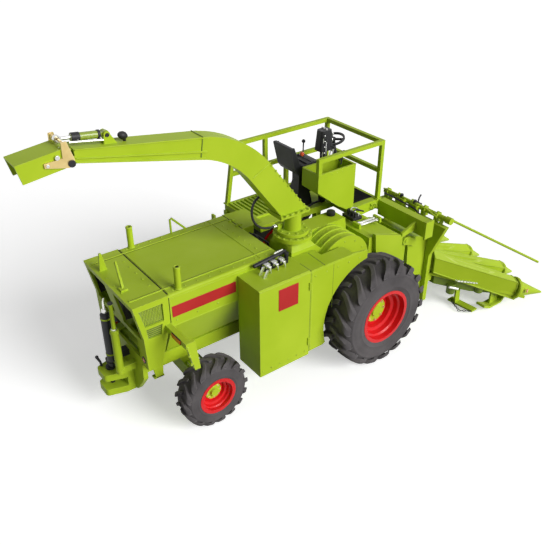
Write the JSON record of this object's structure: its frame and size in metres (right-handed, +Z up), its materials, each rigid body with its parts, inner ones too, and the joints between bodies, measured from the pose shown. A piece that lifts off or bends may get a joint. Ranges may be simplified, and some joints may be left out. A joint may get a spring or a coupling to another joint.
{
  "type": "forage harvester scale model",
  "caption": "1:32 model of a self-propelled forage harvester with maize header, swivelling discharge spout with flap, open platform and rear steering.",
  "frame": {"origin": "on the floor, below the middle of the overall length and width", "axes": "+X forward to the header, +Y to the driver's left, +Z up"},
  "size_m": [0.2428, 0.1104, 0.1263],
  "materials": {
    "paint": "satin yellow-green paint",
    "rim_red": "satin red paint",
    "tyre": "matt black moulded tyre",
    "dark_plastic": "matt black plastic",
    "bright_steel": "bright plated metal",
    "brass": "etched brass",
    "green_cylinder": "satin yellow-green paint",
    "hose_rubber": "black rubber hose"
  },
  "bodies": {
    "chassis": {"blower_housing": "paint", "chute_tower": "paint", "console_box": "paint", "cowl_grilles": "dark_plastic", "cross_beam": "paint", "cutter_housing": "paint", "deck_grating": "paint", "driver_controls": "dark_plastic", "engine_hood": "paint", "exhaust_stubs": "paint", "front_axle": "paint", "hitch_pin": "dark_plastic", "ladder": "paint", "lamp_beams": "paint", "left_tank": "paint", "main_frame": "paint", "oil_canister": "dark_plastic", "platform_deck": "paint", "rail_front": "paint", "rail_left": "paint", "rail_right": "paint", "rear_axle": "paint", "rear_cowl": "paint", "rear_hitch": "paint", "rear_ram": "paint", "seat": "dark_plastic", "side_box": "paint", "side_guard": "paint"},
    "front_wheel_left": {"front_tyre_left": "tyre", "front_rim_left": "rim_red", "front_hub_left": "paint"},
    "front_wheel_right": {"front_tyre_right": "tyre", "front_rim_right": "rim_red", "front_hub_right": "paint"},
    "knuckle_left": {"rear_knuckle_left": "paint"},
    "knuckle_right": {"rear_knuckle_right": "paint"},
    "rear_wheel_left": {"rear_tyre_left": "tyre", "rear_rim_left": "rim_red", "rear_hub_left": "paint"},
    "rear_wheel_right": {"rear_tyre_right": "tyre", "rear_rim_right": "rim_red", "rear_hub_right": "paint"},
    "track_rod": {"tie_rod": "bright_steel"},
    "spout": {"spout_base": "paint", "gooseneck": "paint", "cylinder_bracket": "paint", "chute_hose": "hose_rubber"},
    "flap": {"flap": "paint", "flap_links": "brass"},
    "flap_barrel": {"flap_cylinder": "green_cylinder"},
    "flap_piston": {"flap_rod": "bright_steel"},
    "header": {"feeder_housing": "paint", "header_frame": "paint", "header_deck": "paint", "row_hoods": "paint", "divider_points": "paint", "header_skids": "paint", "deflector_bar": "paint"}
  },
  "joints": [
    {"name": "front_left_spin", "type": "hinge", "parent": "chassis", "child": "front_wheel_left", "pos_m": [0.0136, 0.04645, 0.025], "axis": [0, 1, 0], "continuous": true},
    {"name": "front_right_spin", "type": "hinge", "parent": "chassis", "child": "front_wheel_right", "pos_m": [0.0136, -0.03005, 0.025], "axis": [0, 1, 0], "continuous": true},
    {"name": "steer_right", "type": "hinge", "parent": "chassis", "child": "knuckle_right", "pos_m": [-0.067, -0.0123, 0.015], "axis": [0, 0, 1], "range_deg": [-30, 30]},
    {"name": "steer_left", "type": "hinge", "parent": "chassis", "child": "knuckle_left", "pos_m": [-0.067, 0.0287, 0.015], "axis": [0, 0, 1], "range_deg": [-30, 30]},
    {"name": "track_rod_pivot", "type": "hinge", "parent": "knuckle_left", "child": "track_rod", "pos_m": [-0.059, 0.0287, 0.0125], "axis": [0, 0, 1], "range_deg": [-30, 30]},
    {"name": "rear_left_spin", "type": "hinge", "parent": "knuckle_left", "child": "rear_wheel_left", "pos_m": [-0.067, 0.0386, 0.015], "axis": [0, 1, 0], "continuous": true},
    {"name": "rear_right_spin", "type": "hinge", "parent": "knuckle_right", "child": "rear_wheel_right", "pos_m": [-0.067, -0.0222, 0.015], "axis": [0, 1, 0], "continuous": true},
    {"name": "spout_swivel", "type": "hinge", "parent": "chassis", "child": "spout", "pos_m": [-0.0149, -0.0073, 0.064], "axis": [0, 0, 1], "range_deg": [-110, 110]},
    {"name": "flap_tilt", "type": "hinge", "parent": "spout", "child": "flap", "pos_m": [-0.1047, -0.0073, 0.1186], "axis": [0, 1, 0], "range_deg": [-25, 15]},
    {"name": "flap_barrel_swing", "type": "hinge", "parent": "spout", "child": "flap_barrel", "pos_m": [-0.0909, -0.0073, 0.1234], "axis": [0, 1, 0], "range_deg": [-4.13, 2.53]},
    {"name": "flap_piston_slide", "type": "slide", "parent": "flap_barrel", "child": "flap_piston", "axis": [-0.9939, 0, 0.1104], "range_m": [-0.00167, 0.00272]},
    {"name": "header_lift", "type": "hinge", "parent": "chassis", "child": "header", "pos_m": [0.0426, -0.0073, 0.045], "axis": [0, -1, 0], "range_deg": [0, 14]}
  ],
  "couplings": [
    {"joint": "steer_left", "follows": "steer_right", "ratio": 1},
    {"joint": "track_rod_pivot", "follows": "steer_right", "ratio": -1},
    {"joint": "flap_barrel_swing", "follows": "flap_tilt", "ratio": 0.16},
    {"joint": "flap_piston_slide", "follows": "flap_tilt", "m_per_rad": -0.00605}
  ]
}
